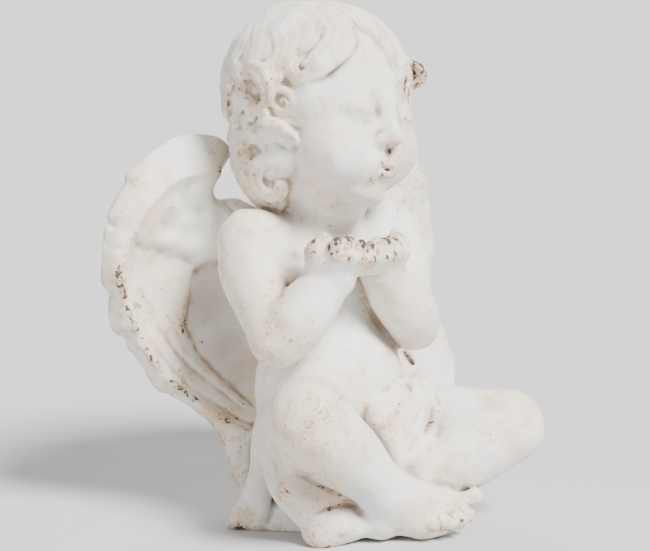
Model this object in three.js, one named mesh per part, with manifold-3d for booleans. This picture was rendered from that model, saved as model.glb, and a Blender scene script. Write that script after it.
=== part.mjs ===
// Seated cherub figurine, cast in one piece: a winged child who sits with crossed shins on a low
// mound of cloth and holds both cupped hands below the chin, as if blowing a kiss.
//
// Millimetres, +Z up. The figure faces -Y, so its right side is at -X. The origin lies on the flat
// underside, below the trunk. The model is a union of balls, lofted limbs, locks and feathers.

import * as THREE from "three";
import { mergeVertices } from "three/addons/utils/BufferGeometryUtils.js";
import Module from "manifold-3d";

const wasm = await Module();
wasm.setup();

// Driving dimensions

const RIGHT = -1;
const LEFT = 1;
const SIDES = [RIGHT, LEFT];

const SHOULDER = { [RIGHT]: v(-48, 5, 163), [LEFT]: v(49, 5, 165) };
const ELBOW = { [RIGHT]: v(-52, -29, 113), [LEFT]: v(48, -28, 117) };
const WRIST = { [RIGHT]: v(-23, -43, 148), [LEFT]: v(7, -43, 148) };
const HIP = { [RIGHT]: v(-30, -4, 42), [LEFT]: v(34, -2, 44) };
const KNEE = { [RIGHT]: v(-54, -62, 76), [LEFT]: v(88, -66, 55) };
const ANKLE = { [RIGHT]: v(-4, -64, 28), [LEFT]: v(4, -40, 17) };

const HANDS_X = -8; // the seam between the two hands
const FINGER_PITCH = 6.1;

const HEAD = v(0, -5, 238);
const HEAD_YAW = THREE.MathUtils.degToRad(10); // the face turns towards the figure's left
const CAP_CENTRE = v(0, 11, 11); // the hair cap, from the head's centre
const CAP_RADII = v(50, 50, 49);

const WING_ROOT = { [RIGHT]: v(-22, 42, 190), [LEFT]: v(16, 42, 192) };
const WING_SWEEP = THREE.MathUtils.degToRad(12); // how far the span runs back from straight out
const WING_TILT = { [RIGHT]: 0, [LEFT]: THREE.MathUtils.degToRad(40) }; // the left wing hangs outwards

const TRIM = 400; // the block that keeps what stands above the ground
const JOIN_TOLERANCE = 0.5; // shorter edges are closed up where two forms meet

// Small helpers

function v(x, y, z) {
  return new THREE.Vector3(x, y, z);
}

function mix(a, b, share) {
  return a.clone().lerp(b, share);
}

function plus(a, x, y, z) {
  return a.clone().add(v(x, y, z));
}

// A repeatable number from -1 to 1 for the n-th irregularity.
function jitter(n) {
  const wave = Math.sin(n * 12.9898) * 43758.5453;
  return 2 * (wave - Math.floor(wave)) - 1;
}

function lerpList(list, share) {
  const place = share * (list.length - 1);
  const low = Math.min(Math.floor(place), list.length - 2);
  return THREE.MathUtils.lerp(list[low], list[low + 1], place - low);
}

// Closed solids

function solid(geometry) {
  for (const name of ["normal", "uv"]) geometry.deleteAttribute(name);
  const merged = mergeVertices(geometry);
  return new wasm.Manifold(
    new wasm.Mesh({
      numProp: 3,
      vertProperties: merged.attributes.position.array,
      triVerts: new Uint32Array(merged.index.array),
      tolerance: JOIN_TOLERANCE,
    }),
  );
}

function ball(centre, radii, turn = new THREE.Euler(), around = 14, down = 9) {
  const geometry = new THREE.SphereGeometry(1, around, down);
  const place = new THREE.Matrix4().compose(centre, new THREE.Quaternion().setFromEuler(turn), radii);
  return solid(geometry.applyMatrix4(place));
}

// A solid from a closed skin of triangles, turned right side out.
function closed(points, index) {
  const made = solid(new THREE.BufferGeometry().setFromPoints(points).setIndex(index));
  if (made.volume() > 0) return made;
  return solid(new THREE.BufferGeometry().setFromPoints(points).setIndex([...index].reverse()));
}

// A skin over rings of equal length, with a pole before the first ring and after the last.
function loft(rings, startPole, endPole) {
  const sides = rings[0].length;
  const points = [...rings.flat(), startPole, endPole];
  const start = points.length - 2;
  const end = points.length - 1;
  const last = (rings.length - 1) * sides;
  const index = [];
  for (let i = 0; i < sides; i++) {
    const next = (i + 1) % sides;
    index.push(start, next, i, end, last + i, last + next);
    for (let row = 0; row < last; row += sides) {
      const [a, b, c, d] = [row + i, row + next, row + sides + next, row + sides + i];
      index.push(a, b, c, a, c, d);
    }
  }
  return closed(points, index);
}

// A thin skin with a front (face 1) and a back (face -1) over one grid, joined along the rim (face 0).
function pillow(columns, rows, at) {
  const onRim = (c, r) => c === 0 || r === 0 || c === columns || r === rows;
  const points = [];
  const index = [];
  for (const face of [1, -1]) {
    const first = points.length;
    for (let r = 0; r <= rows; r++) {
      for (let c = 0; c <= columns; c++) points.push(at(c, r, onRim(c, r) ? 0 : face));
    }
    for (let r = 0; r < rows; r++) {
      for (let c = 0; c < columns; c++) {
        const a = first + r * (columns + 1) + c;
        const b = a + columns + 1;
        const cell = onRim(c, r) && onRim(c + 1, r + 1) ? [a, a + 1, b, a + 1, b + 1, b] : [a, a + 1, b + 1, a, b + 1, b];
        index.push(...(face > 0 ? cell : cell.reverse()));
      }
    }
  }
  return closed(points, index);
}

// The skin of overlapping balls as seen from a point inside them all. Its facets are finest towards -Y.
function starSkin(middle, balls, around, down) {
  const geometry = new THREE.SphereGeometry(1, around, down);
  const position = geometry.attributes.position;
  for (let i = 0; i < position.count; i++) {
    const ray = v(0, 0, 0).fromBufferAttribute(position, i).normalize();
    const reach = balls.map(([centre, radii]) => {
      const from = middle.clone().sub(centre).divide(radii);
      const along = ray.clone().divide(radii);
      const [a, b, c] = [along.lengthSq(), from.dot(along), from.lengthSq() - 1];
      return b * b < a * c ? 0 : (Math.sqrt(b * b - a * c) - b) / a;
    });
    position.setXYZ(i, ...ray.multiplyScalar(Math.max(...reach)).add(middle));
  }
  return geometry;
}

// A round-ended limb through the points, with a radius at each. A limb of few sides has plain ends.
function limb(points, radii, sides = 10, steps = 5) {
  const curve = new THREE.CatmullRomCurve3(points, false, "catmullrom");
  const frames = curve.computeFrenetFrames(steps, false);
  const ring = (step, radius, along) => {
    const centre = curve.getPointAt(step / steps).addScaledVector(frames.tangents[step], along);
    return Array.from({ length: sides }, (_, i) => {
      const angle = (2 * Math.PI * i) / sides;
      return centre
        .clone()
        .addScaledVector(frames.binormals[step], radius * Math.cos(angle))
        .addScaledVector(frames.normals[step], radius * Math.sin(angle));
    });
  };
  const first = radii[0];
  const final = radii[radii.length - 1];
  const rings = [];
  for (let step = 0; step <= steps; step++) rings.push(ring(step, lerpList(radii, step / steps), 0));
  const plain = sides < 7;
  if (!plain) rings.unshift(ring(0, first * Math.SQRT1_2, -first * Math.SQRT1_2));
  if (!plain) rings.push(ring(steps, final * Math.SQRT1_2, final * Math.SQRT1_2));
  const reach = plain ? 0.6 : 1;
  const startPole = points[0].clone().addScaledVector(frames.tangents[0], -first * reach);
  const endPole = points[points.length - 1].clone().addScaledVector(frames.tangents[steps], final * reach);
  return loft(rings, startPole, endPole);
}

function join(list) {
  return list.reduce((whole, piece) => whole.add(piece));
}

// Trunk, as rings from the seat to the neck: height, centre x and y, half width, half depth

const TRUNK_RINGS = [
  [2, 2, 8, 34, 32],
  [14, 2, 8, 42, 40],
  [36, 1, 4, 47, 43],
  [60, 0, -2, 47, 42],
  [82, 0, -5, 46, 40],
  [104, 0, -2, 43, 37],
  [124, 0, 1, 41, 35],
  [146, 0, 1, 43, 33],
  [162, 0, 4, 42, 26],
  [176, 0, 5, 28, 23],
  [198, 0, 2, 22, 22],
];

function trunk() {
  const sides = 16;
  const rings = TRUNK_RINGS.map(([z, x, y, wide, deep]) =>
    Array.from({ length: sides }, (_, i) => {
      const angle = (2 * Math.PI * i) / sides;
      return v(x + wide * Math.cos(angle), y + deep * Math.sin(angle), z);
    }),
  );
  return loft(rings, v(2, 8, -2), v(0, 2, 206));
}

// Arms and the cupped hands

function arm(side) {
  const [shoulder, elbow, wrist] = [SHOULDER[side], ELBOW[side], WRIST[side]];
  const upper = [shoulder, plus(mix(shoulder, elbow, 0.35), side * 3, 2, 0), plus(mix(shoulder, elbow, 0.75), side, 2, 0), elbow];
  const lower = [elbow, plus(mix(elbow, wrist, 0.3), side, -3, -1), mix(elbow, wrist, 0.65), wrist];
  return limb(upper, [19, 18, 16, 15], 9, 4).add(limb(lower, [15, 17, 15, 11], 9, 4));
}

function hand(side) {
  const palm = v(HANDS_X + side * 15, -47, 156);
  const forms = [
    ball(palm, v(14, 10, 7.5), new THREE.Euler(-0.44, side * 0.17, 0), 10, 6),
    limb([WRIST[side], palm], [11, 9], 8, 1),
  ];
  for (let i = 0; i < 4; i++) {
    const x = HANDS_X + side * (3.2 + FINGER_PITCH * i);
    const bow = -4 + 7 * ((x - HANDS_X) / 26) ** 2; // the row of fingers curves like a bowl's rim
    const root = v(x, -52 + bow, 153.5 + 0.6 * i);
    const knuckle = v(x - side * 0.3, -58 + bow, 159.5 + 0.5 * i);
    const tip = v(x - side, -55.5 + bow, 167 + 0.8 * i);
    forms.push(limb([root, knuckle, tip], [4.2, 3.7, 3.1], 5, 2));
  }
  const thumb = [v(HANDS_X + side * 24, -40, 152), v(HANDS_X + side * 29, -43, 161), v(HANDS_X + side * 25.5, -47, 169)];
  forms.push(limb(thumb, [6, 5, 4], 6, 3));
  return join(forms);
}

// Legs and feet

function leg(side) {
  const [hip, knee, ankle] = [HIP[side], KNEE[side], ANKLE[side]];
  const thigh = [hip, plus(mix(hip, knee, 0.45), 0, 0, 2), mix(hip, knee, 0.8), knee];
  const shin = [knee, plus(mix(knee, ankle, 0.3), 0, -2, -2), mix(knee, ankle, 0.65), ankle];
  return limb(thigh, [28, 27, 23.5, 21], 10, 3).add(limb(shin, [20.5, 21, 18, 14], 10, 4));
}

function footRing(centre, across, up, wide, high) {
  const sides = 8;
  return Array.from({ length: sides }, (_, i) => {
    const angle = (2 * Math.PI * i) / sides;
    return centre.clone().addScaledVector(across, wide * Math.cos(angle)).addScaledVector(up, high * Math.sin(angle));
  });
}

// A foot from its heel and ball, with a row of toes from the little one to the great one.
function foot(ankle, heel, fore, littleToe, greatToe, toes = 5) {
  const along = fore.clone().sub(heel).normalize();
  const across = greatToe.clone().sub(littleToe).normalize();
  const up = along.clone().cross(across).normalize();
  if (up.z < 0) up.negate();
  across.copy(up).cross(along);
  const toeRow = mix(littleToe, greatToe, 0.5).addScaledVector(along, -6);
  const forms = [
    limb([ankle, plus(mix(heel, fore, 0.3), 0, 0, 4)], [14, 14], 8, 1),
    loft(
      [
        [-4, 9, 8],
        [4, 12, 11],
        [18, 13, 13],
        [32, 15, 11],
      ]
        .map(([reach, wide, high]) => footRing(heel.clone().addScaledVector(along, reach), across, up, wide, high))
        .concat([footRing(toeRow, across, up, 19, 8)]),
      heel.clone().addScaledVector(along, -11),
      toeRow.clone().addScaledVector(along, 6),
    ),
  ];
  for (let i = 0; i < toes; i++) {
    const share = i / (toes - 1);
    const radius = 4 + 1.9 * share ** 2.2;
    const length = 5 + 5 * share;
    const root = mix(littleToe, greatToe, share).addScaledVector(along, -4);
    const middle = root.clone().addScaledVector(along, length / 2).addScaledVector(up, 1.2);
    const tip = root.clone().addScaledVector(along, length);
    forms.push(limb([root, middle, tip], [radius, radius * 0.92, radius * 0.9], 5, 1));
  }
  return join(forms);
}

// The far foot is tucked into the cloth, so its toes don't show.
function feet() {
  const near = foot(ANKLE[RIGHT], v(-4, -58, 13), v(22, -71, 11), v(9, -78, 5.5), v(40, -71, 16.5));
  const far = foot(ANKLE[LEFT], v(2, -38, 12), v(-22, -42, 10), v(-26, -34, 9), v(-28, -48, 10), 0);
  return near.add(far);
}

// Head and face, in the head's own frame: +X to the figure's left, the face towards -Y

const HEAD_TURN = new THREE.Euler(0, 0, HEAD_YAW);

function onHead(x, y, z) {
  return v(x, y, z).applyEuler(HEAD_TURN).add(HEAD);
}

function head() {
  const balls = [
    [v(0, 6, 8), v(45, 49, 47)],
    [v(0, -13, -19), v(38, 33, 36)],
    [v(0, -34, -46), v(12, 11, 9.5)],
    [v(0, -38, 0), v(6, 7, 9)],
    [v(0, -44, -10), v(5.5, 7, 9)],
    [v(0, -49, -17), v(6.5, 7.5, 6)],
    [v(0, -42, -32), v(13, 10, 9)],
  ];
  for (const side of SIDES) {
    balls.push([v(side * 20, -26, -25), v(17.5, 16.5, 16.5)]);
    balls.push([v(side * 16.5, -37, -2), v(10, 7.5, 7)]);
    balls.push([v(side * 15, -34, 12), v(14, 9, 6)]);
  }
  const skin = starSkin(v(0, -22, -14), balls, 22, 14);
  skin.rotateZ(HEAD_YAW).translate(...HEAD);
  const ears = SIDES.map((side) => ball(onHead(side * 43, 3, -8), v(6, 9, 12), HEAD_TURN, 7, 5));
  return join([solid(skin), ...ears]);
}

// Hair: locks that start on a cap and curl as they run down, in the head's own frame

// A lock's path. `around` is 0 over the brow and grows towards the figure's left, `above` is the height
// angle on the cap, `heading` turns the start away from straight down, and `curl` is the whole turn.
function lockPath(around, above, heading, length, curl, steps) {
  const [a, e, h, turn] = [around, above, heading, curl].map(THREE.MathUtils.degToRad);
  const out = v(Math.sin(a) * Math.cos(e), -Math.cos(a) * Math.cos(e), Math.sin(e));
  const down = v(Math.sin(a) * Math.sin(e), -Math.cos(a) * Math.sin(e), -Math.cos(e));
  const run = down.clone().multiplyScalar(Math.cos(h)).addScaledVector(out.clone().cross(down), Math.sin(h));
  const pace = length / CAP_RADII.x / steps;
  const points = [];
  for (let i = 0; i <= steps; i++) {
    points.push(out.clone().multiply(CAP_RADII).add(CAP_CENTRE));
    const axis = out.clone().cross(run);
    out.applyAxisAngle(axis, pace);
    run.applyAxisAngle(axis, pace);
    run.applyAxisAngle(out, (turn * 2.6 * (i / steps) ** 1.6) / steps);
  }
  return points;
}

// Rows of locks from the crown to the nape: height angle, count, length, radius, and the angle to each
// side of the brow that stays bare for the face.
const HAIR_ROWS = [
  [68, 7, 42, 8, 0],
  [40, 11, 34, 8, 50],
  [14, 12, 32, 8, 70],
  [-12, 11, 30, 8, 84],
  [-36, 10, 28, 8, 98],
  [-58, 7, 22, 8, 104],
];

// Locks swept from the parting over the brow: around, above, heading, length, curl, radius.
const BROW_LOCKS = [
  [-10, 58, 50, 46, -210, 8],
  [-30, 52, 30, 44, -260, 8],
  [14, 58, -55, 44, 200, 8],
  [34, 50, -35, 42, 240, 7.5],
  [-52, 40, 10, 40, -300, 7.5],
  [56, 38, -10, 40, 280, 7.5],
];

function hair() {
  const locks = [...BROW_LOCKS];
  HAIR_ROWS.forEach(([above, count, length, radius, bare], row) => {
    for (let i = 0; i < count; i++) {
      const seed = 20 * row + i;
      const around = (360 * (i + 0.5 * (row % 2))) / count - 180 + 5 * jitter(seed);
      if (Math.abs(around) < bare) continue;
      const curl = Math.sign(jitter(seed + 100)) * (240 + 80 * jitter(seed + 200));
      locks.push([around, above + 4 * jitter(seed + 300), 35 * jitter(seed + 400), length, curl, radius]);
    }
  });
  const steps = 7;
  const balls = [
    [CAP_CENTRE, CAP_RADII.clone().subScalar(3)],
    [v(0, 20, -22), v(40, 32, 34)],
  ];
  for (const [around, above, heading, length, curl, radius] of locks) {
    lockPath(around, above, heading, length, curl, steps).forEach((point, i) => {
      const thick = radius * lerpList([0.7, 1.05, 1, 0.6], i / steps);
      balls.push([point, v(thick, thick, thick)]);
    });
  }
  const skin = starSkin(CAP_CENTRE, balls, 34, 23);
  return solid(skin.rotateZ(HEAD_YAW).translate(...HEAD));
}

// Wings, laid out in their own plane: `span` runs outwards from the root, `rise` runs up

const line = (...points) => new THREE.SplineCurve(points.map(([span, rise]) => new THREE.Vector2(span, rise)));

const WING_ARCH = line([8, -18], [20, -4], [20, 14], [25, 25], [38, 26], [54, 19], [69, 7], [79, -11], [82, -34], [80, -54]);
const FEATHER_ROOTS = line([84, -14], [68, 10], [46, 24], [27, 16], [17, -6], [3, -26]);

// Each row of feathers: where its tips lie, how many, half thickness on the ridge and in the groove, and
// the grid's rows along the feathers.
const FEATHER_ROWS = [
  [line([90, -40], [85, -72], [70, -100], [48, -121], [28, -138], [13, -166], [-2, -180]), 10, 5, 3.2, 3],
  [line([87, -34], [77, -60], [62, -78], [44, -88], [26, -94], [8, -98]), 7, 7, 5.4, 3],
  [line([82, -22], [70, -38], [54, -50], [36, -54], [18, -52], [5, -46]), 5, 9, 7.4, 2],
];
const FEATHER_NOTCH = 0.05; // how far the gap between two tips cuts back into the row

function onWing(side, span, rise, front) {
  const tilt = WING_TILT[side];
  const across = span * Math.cos(tilt) - rise * Math.sin(tilt);
  const up = span * Math.sin(tilt) + rise * Math.cos(tilt);
  const cupped = 16 * ((span - 30) / 60) ** 2 + 10 * ((rise + 60) / 120) ** 2 - 4 + front;
  return WING_ROOT[side]
    .clone()
    .addScaledVector(v(side * Math.cos(WING_SWEEP), Math.sin(WING_SWEEP), 0), across)
    .addScaledVector(v(side * Math.sin(WING_SWEEP), -Math.cos(WING_SWEEP), 0), cupped)
    .add(v(0, 0, up));
}

// A fan of feathers side by side: each has a ridge down its middle, and a groove parts it from the next.
function featherRow(side, tips, feathers, ridge, groove, rows) {
  const columns = 2 * feathers;
  return pillow(columns, rows, (column, row, face) => {
    const inGroove = column % 2 === 0;
    const share = (1 - (1 - row / rows) ** 1.6) * (inGroove ? 1 - FEATHER_NOTCH : 1);
    const point = FEATHER_ROOTS.getPoint(column / columns).lerp(tips.getPoint(column / columns), share);
    const bow = 10 * (1 - column / columns) * share * (1 - share);
    return onWing(side, point.x + bow, point.y, face * (inGroove ? groove : ridge));
  });
}

function wing(side) {
  const shoulderBlade = v(side * 20, 26, 158);
  const neck = onWing(side, 12, -12, 0);
  const arch = WING_ARCH.getPoints(9).map(({ x, y }) => onWing(side, x, y, 1));
  return join([
    limb(arch, [8, 10, 10.5, 10, 9, 7, 5], 6, 9),
    limb([shoulderBlade, plus(mix(shoulderBlade, neck, 0.6), 0, 4, 0), neck], [16, 13, 9], 8, 2),
    ...FEATHER_ROWS.map((row) => featherRow(side, ...row)),
  ]);
}

// Cloth: the gathered mound underneath, the loin cloth over the lap and its ends beside the near thigh

// The mound's rings: height, half width, half depth.
const MOUND_RINGS = [
  [-4, 53, 51],
  [3, 54, 52],
  [12, 50, 48],
  [22, 42, 40],
];
const MOUND_FOLDS = 9;

function mound() {
  const sides = 27;
  const rings = MOUND_RINGS.map(([z, wide, deep]) =>
    Array.from({ length: sides }, (_, i) => {
      const angle = (2 * Math.PI * i) / sides;
      const fold = 1 + 0.05 * Math.cos(MOUND_FOLDS * angle) + 0.03 * Math.sin(5 * angle + 1);
      return v(1 + wide * fold * Math.cos(angle), 6 + deep * fold * Math.sin(angle), z);
    }),
  );
  return loft(rings, v(1, 6, -8), v(1, 6, 26));
}

function cloth() {
  const knot = v(40, -33, 80);
  const foldEnds = [v(12, -58, 44), v(34, -57, 42)];
  const forms = [
    mound(),
    ball(v(24, -36, 54), v(26, 22, 24), new THREE.Euler(0, 0, -0.44), 12, 7),
    ball(knot, v(8, 7, 9), undefined, 8, 5),
    limb([v(-48, -12, 58), v(-54, -8, 40), v(-53, -2, 22), v(-58, 2, 4)], [11, 10, 8, 7], 7, 4),
    limb([v(-40, -30, 44), v(-42, -40, 30), v(-38, -46, 14), v(-34, -48, 2)], [16, 15, 15, 13], 9, 4),
    limb([v(-48, -38, 20), v(-38, -54, 16), v(-22, -52, 14)], [7, 9, 8], 7, 3),
  ];
  for (const end of foldEnds) forms.push(limb([knot, plus(mix(knot, end, 0.5), 0, -6, 4), end], [7, 9, 8], 6, 2));
  return join(forms);
}

// The whole casting, trimmed flat where it stands. Pockets that its forms close off are filled.

function casting() {
  const whole = join([
    trunk(),
    ...SIDES.flatMap((side) => [arm(side), hand(side), leg(side), wing(side)]),
    feet(),
    cloth(),
    head(),
    hair(),
  ]);
  const above = new THREE.BoxGeometry(TRIM, TRIM, TRIM).translate(0, 0, TRIM / 2);
  const bodies = whole.intersect(solid(above)).decompose();
  return bodies.reduce((outer, body) => (body.volume() > outer.volume() ? body : outer));
}

function geometryOf(manifold) {
  const mesh = manifold.getMesh();
  return new THREE.BufferGeometry()
    .setAttribute("position", new THREE.BufferAttribute(mesh.vertProperties, 3))
    .setIndex(new THREE.BufferAttribute(mesh.triVerts, 1));
}

const plaster = new THREE.MeshStandardMaterial({ color: 0xe6e2da, roughness: 0.8, metalness: 0 });
const cherub = new THREE.Mesh(geometryOf(casting()), plaster);
cherub.name = "cherub";

const figurine = new THREE.Group();
figurine.add(cherub);

export default figurine;
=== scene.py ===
"""A seated cherub figurine, cast in one piece and painted antique white.

The figure is sculpted as one field of distances, in millimetres: forms are blended on to it and cut out of
it, and its zero level becomes the skin. It faces -Y, its right side is at -X and it stands on z = 0.
"""

import math

import bpy
import numpy as np
from mathutils import Matrix


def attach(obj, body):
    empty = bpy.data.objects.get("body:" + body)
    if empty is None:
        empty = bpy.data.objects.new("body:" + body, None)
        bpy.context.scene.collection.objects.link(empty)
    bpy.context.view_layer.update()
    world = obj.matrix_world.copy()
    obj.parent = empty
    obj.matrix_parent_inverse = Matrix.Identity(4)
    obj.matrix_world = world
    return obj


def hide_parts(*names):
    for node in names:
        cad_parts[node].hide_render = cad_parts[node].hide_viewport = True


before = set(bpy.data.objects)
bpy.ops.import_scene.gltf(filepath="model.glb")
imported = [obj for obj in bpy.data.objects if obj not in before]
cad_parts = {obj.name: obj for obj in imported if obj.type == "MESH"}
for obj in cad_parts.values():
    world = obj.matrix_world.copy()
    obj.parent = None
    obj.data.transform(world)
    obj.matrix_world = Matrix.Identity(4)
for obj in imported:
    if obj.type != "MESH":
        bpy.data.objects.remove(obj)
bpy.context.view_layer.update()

RIGHT, LEFT = -1, 1
MM = 0.001
LOW, HIGH = (-132, -104, -4), (146, 90, 306)
STEP = 1.0
FAR = 40.0
MAX_TRIANGLES = 196000

# Skeleton

SHOULDER = {RIGHT: (-48, 5, 163), LEFT: (49, 5, 165)}
ELBOW = {RIGHT: (-52, -29, 113), LEFT: (43, -28, 114)}
WRIST = {RIGHT: (-23, -43, 148), LEFT: (7, -43, 148)}
HIP = {RIGHT: (-25, -4, 42), LEFT: (34, -2, 44)}
KNEE = {RIGHT: (-54, -62, 76), LEFT: (82, -66, 55)}
ANKLE = {RIGHT: (-4, -64, 28), LEFT: (4, -40, 17)}
HANDS_X = -8.0
FINGER_LEAN = {RIGHT: 0.6, LEFT: -2.4}
TOES = [(15, -80, 11), (23.5, -81.5, 10.4), (31.5, -81.5, 11.4), (39.5, -80.5, 13.6)]
TOE_RADII = [4.2, 4.2, 4.3, 4.4]
HEAD = np.array([0.0, -5.0, 238.0])
HEAD_YAW = 10.0
FACE_ROLL = 9.0


# Field tools


def smooth_min(a, b, k):
    """The smaller of two distances, with a fillet of about k where they meet."""
    if k <= 0:
        return np.minimum(a, b)
    h = np.maximum(k - np.abs(a - b), 0) / k
    return np.minimum(a, b) - h * h * k * 0.25


def turn_about(axis, degrees):
    a = math.radians(degrees)
    c, s = math.cos(a), math.sin(a)
    return {
        "x": np.array([[1, 0, 0], [0, c, -s], [0, s, c]]),
        "y": np.array([[c, 0, s], [0, 1, 0], [-s, 0, c]]),
        "z": np.array([[c, -s, 0], [s, c, 0], [0, 0, 1]]),
    }[axis]


def mix(a, b, share):
    return np.asarray(a, float) * (1 - share) + np.asarray(b, float) * share


def unit(v):
    return np.asarray(v, float) / np.linalg.norm(v)


def jitter(n):
    """A repeatable number from -1 to 1 for the n-th irregularity."""
    wave = math.sin(n * 12.9898) * 43758.5453
    return 2 * (wave - math.floor(wave)) - 1


def spline(points, steps):
    """Catmull-Rom through the rows of points, whatever their columns hold."""
    points = np.asarray(points, float)
    spans = len(points) - 1
    ends = np.vstack([2 * points[0] - points[1], points, 2 * points[-1] - points[-2]])
    place = np.linspace(0, spans, steps + 1)
    i = np.minimum(place.astype(int), spans - 1)
    t = (place - i)[:, None]
    a, b, c, d = ends[i], ends[i + 1], ends[i + 2], ends[i + 3]
    return 0.5 * (2 * b + (c - a) * t + (2 * a - 5 * b + 4 * c - d) * t**2 + (3 * b - a - 3 * c + d) * t**3)


def closed_spline(points, steps):
    return spline(np.vstack([points, points[:1]]), steps)[:-1]


def ellipsoid(p, centre, radii, turn):
    """Near enough the distance to an ellipsoid, whose axes are the columns of `turn`."""
    q = p - np.asarray(centre, np.float32)
    if turn is not None:
        q = q @ np.asarray(turn, np.float32)
    r = np.asarray(radii, np.float32)
    near = np.linalg.norm(q / r, axis=-1)
    slope = np.linalg.norm(q / (r * r), axis=-1)
    return near * (near - 1) / np.maximum(slope, 1e-6)


def round_cone(p, a, b, ra, rb):
    """Distance to the hull of two balls."""
    ab = b - a
    l2 = float(ab @ ab)
    rr = ra - rb
    a2 = l2 - rr * rr
    if a2 <= 1e-6:
        c, r = (a, ra) if ra > rb else (b, rb)
        return np.linalg.norm(p - c, axis=-1) - r
    pa = p - a
    y = pa @ ab
    z = y - l2
    x2 = np.maximum(np.einsum("...i,...i", pa, pa) * l2 * l2 - y * y * l2, 0)
    y2, z2 = y * y * l2, z * z * l2
    k = np.sign(rr) * rr * rr * x2
    d = (np.sqrt(x2 * a2 / l2) + y * rr) / l2 - ra
    d = np.where(np.sign(y) * a2 * y2 < k, np.sqrt(x2 + y2) / l2 - ra, d)
    return np.where(np.sign(z) * a2 * z2 > k, np.sqrt(x2 + z2) / l2 - rb, d)


def triangle_distance(p, a, b, c):
    normal = np.cross(b - a, a - c).astype(np.float32)
    nearest = np.full(p.shape[:-1], 1e9, np.float32)
    sides = np.zeros(p.shape[:-1], np.float32)
    for start, end in ((a, b), (b, c), (c, a)):
        edge = (end - start).astype(np.float32)
        q = p - start.astype(np.float32)
        sides += np.sign(q @ np.cross(edge, normal))
        t = np.clip((q @ edge) / (edge @ edge), 0, 1)
        nearest = np.minimum(nearest, np.linalg.norm(q - t[..., None] * edge, axis=-1))
    above = np.abs((p - a.astype(np.float32)) @ normal) / np.linalg.norm(normal)
    return np.where(np.abs(sides) > 2, above, nearest)


class Clay:
    """A block of distances that forms are added to and cut out of."""

    def __init__(self, low, high, step):
        self.step = step
        self.low = np.array(low, float)
        self.axes = [np.arange(low[i], high[i] + step, step, dtype=np.float32) for i in range(3)]
        self.field = np.full([len(a) for a in self.axes], FAR, np.float32)

    def window(self, low, high):
        cut = []
        for i in range(3):
            a = self.axes[i]
            first = max(0, int(np.floor((low[i] - a[0]) / self.step)))
            last = min(len(a), int(np.ceil((high[i] - a[0]) / self.step)) + 1)
            cut.append(slice(first, max(last, first)))
        points = np.meshgrid(*[self.axes[i][cut[i]] for i in range(3)], indexing="ij")
        return tuple(cut), np.stack(points, -1)

    def merge(self, cut, distance, k, carve):
        part = self.field[cut]
        d = distance.astype(np.float32)
        self.field[cut] = -smooth_min(-part, d, k) if carve else smooth_min(part, d, k)

    def ball(self, centre, radii, k, turn=None, carve=False, pad=14):
        radii = np.broadcast_to(np.asarray(radii, float), 3)
        centre = np.asarray(centre, float)
        reach = radii if turn is None else np.full(3, radii.max())
        cut, p = self.window(centre - reach - pad, centre + reach + pad)
        self.merge(cut, ellipsoid(p, centre, radii, turn), k, carve)

    def plate(self, points, radius, k, pad=10):
        """A rounded plate over a fan of triangles from the first point."""
        points = np.asarray(points, float)
        cut, p = self.window(points.min(0) - radius - pad, points.max(0) + radius + pad)
        fans = [triangle_distance(p, points[0], a, b) for a, b in zip(points[1:-1], points[2:])]
        self.merge(cut, np.min(fans, 0) - radius, k, False)

    def tube(self, points, radii, k, steps=None, carve=False, pad=14):
        points, radii = np.asarray(points, float), np.asarray(radii, float)
        if steps:
            both = spline(np.column_stack([points, radii]), steps)
            points, radii = both[:, :3], both[:, 3]
        reach = radii.max() + pad
        low, high = points.min(0) - reach, points.max(0) + reach
        whole, p = self.window(low, high)
        distance = np.full(p.shape[:3], FAR, np.float32)
        for a, b, ra, rb in zip(points[:-1], points[1:], radii[:-1], radii[1:]):
            own_reach = max(ra, rb) + pad
            own_low = np.maximum(np.minimum(a, b) - own_reach, low)
            own_high = np.minimum(np.maximum(a, b) + own_reach, high)
            own, q = self.window(own_low, own_high)
            part = tuple(slice(o.start - w.start, o.stop - w.start) for o, w in zip(own, whole))
            near = round_cone(q, a.astype(np.float32), b.astype(np.float32), float(ra), float(rb))
            distance[part] = np.minimum(distance[part], near.astype(np.float32))
        self.merge(whole, distance, k, carve)


# Trunk and limbs


def sculpt_trunk(clay):
    clay.ball((4, 8, 36), (40, 42, 38), 0)
    clay.ball((0, -5, 78), (45, 40, 42), 14)
    clay.ball((0, 4, 135), (40, 32, 42), 16)
    clay.tube([(-42, 7, 162), (42, 7, 164)], [17, 17], 14)
    clay.tube([(0, 5, 165), (1, 3, 205)], [22, 21], 10)
    for side in (RIGHT, LEFT):
        clay.ball((side * 17, -22, 146), (17, 9, 13), 8)
    clay.ball((-11, -45.5, 97), (1.6, 3, 1.8), 2.5, carve=True)


def sculpt_arms(clay):
    for side in (RIGHT, LEFT):
        shoulder, elbow, wrist = SHOULDER[side], ELBOW[side], WRIST[side]
        upper = [
            shoulder,
            mix(shoulder, elbow, 0.35) + (side * 3, 2, 0),
            mix(shoulder, elbow, 0.75) + (side, 2, 0),
            elbow,
        ]
        lower = [elbow, mix(elbow, wrist, 0.3) + (side, -3, -1), mix(elbow, wrist, 0.65), wrist]
        clay.tube(upper, [18.5, 17.5, 15.5, 14.5], 9, steps=12)
        clay.tube(lower, [14.5, 16.5, 14.5, 10.5], 4, steps=12)


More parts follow.
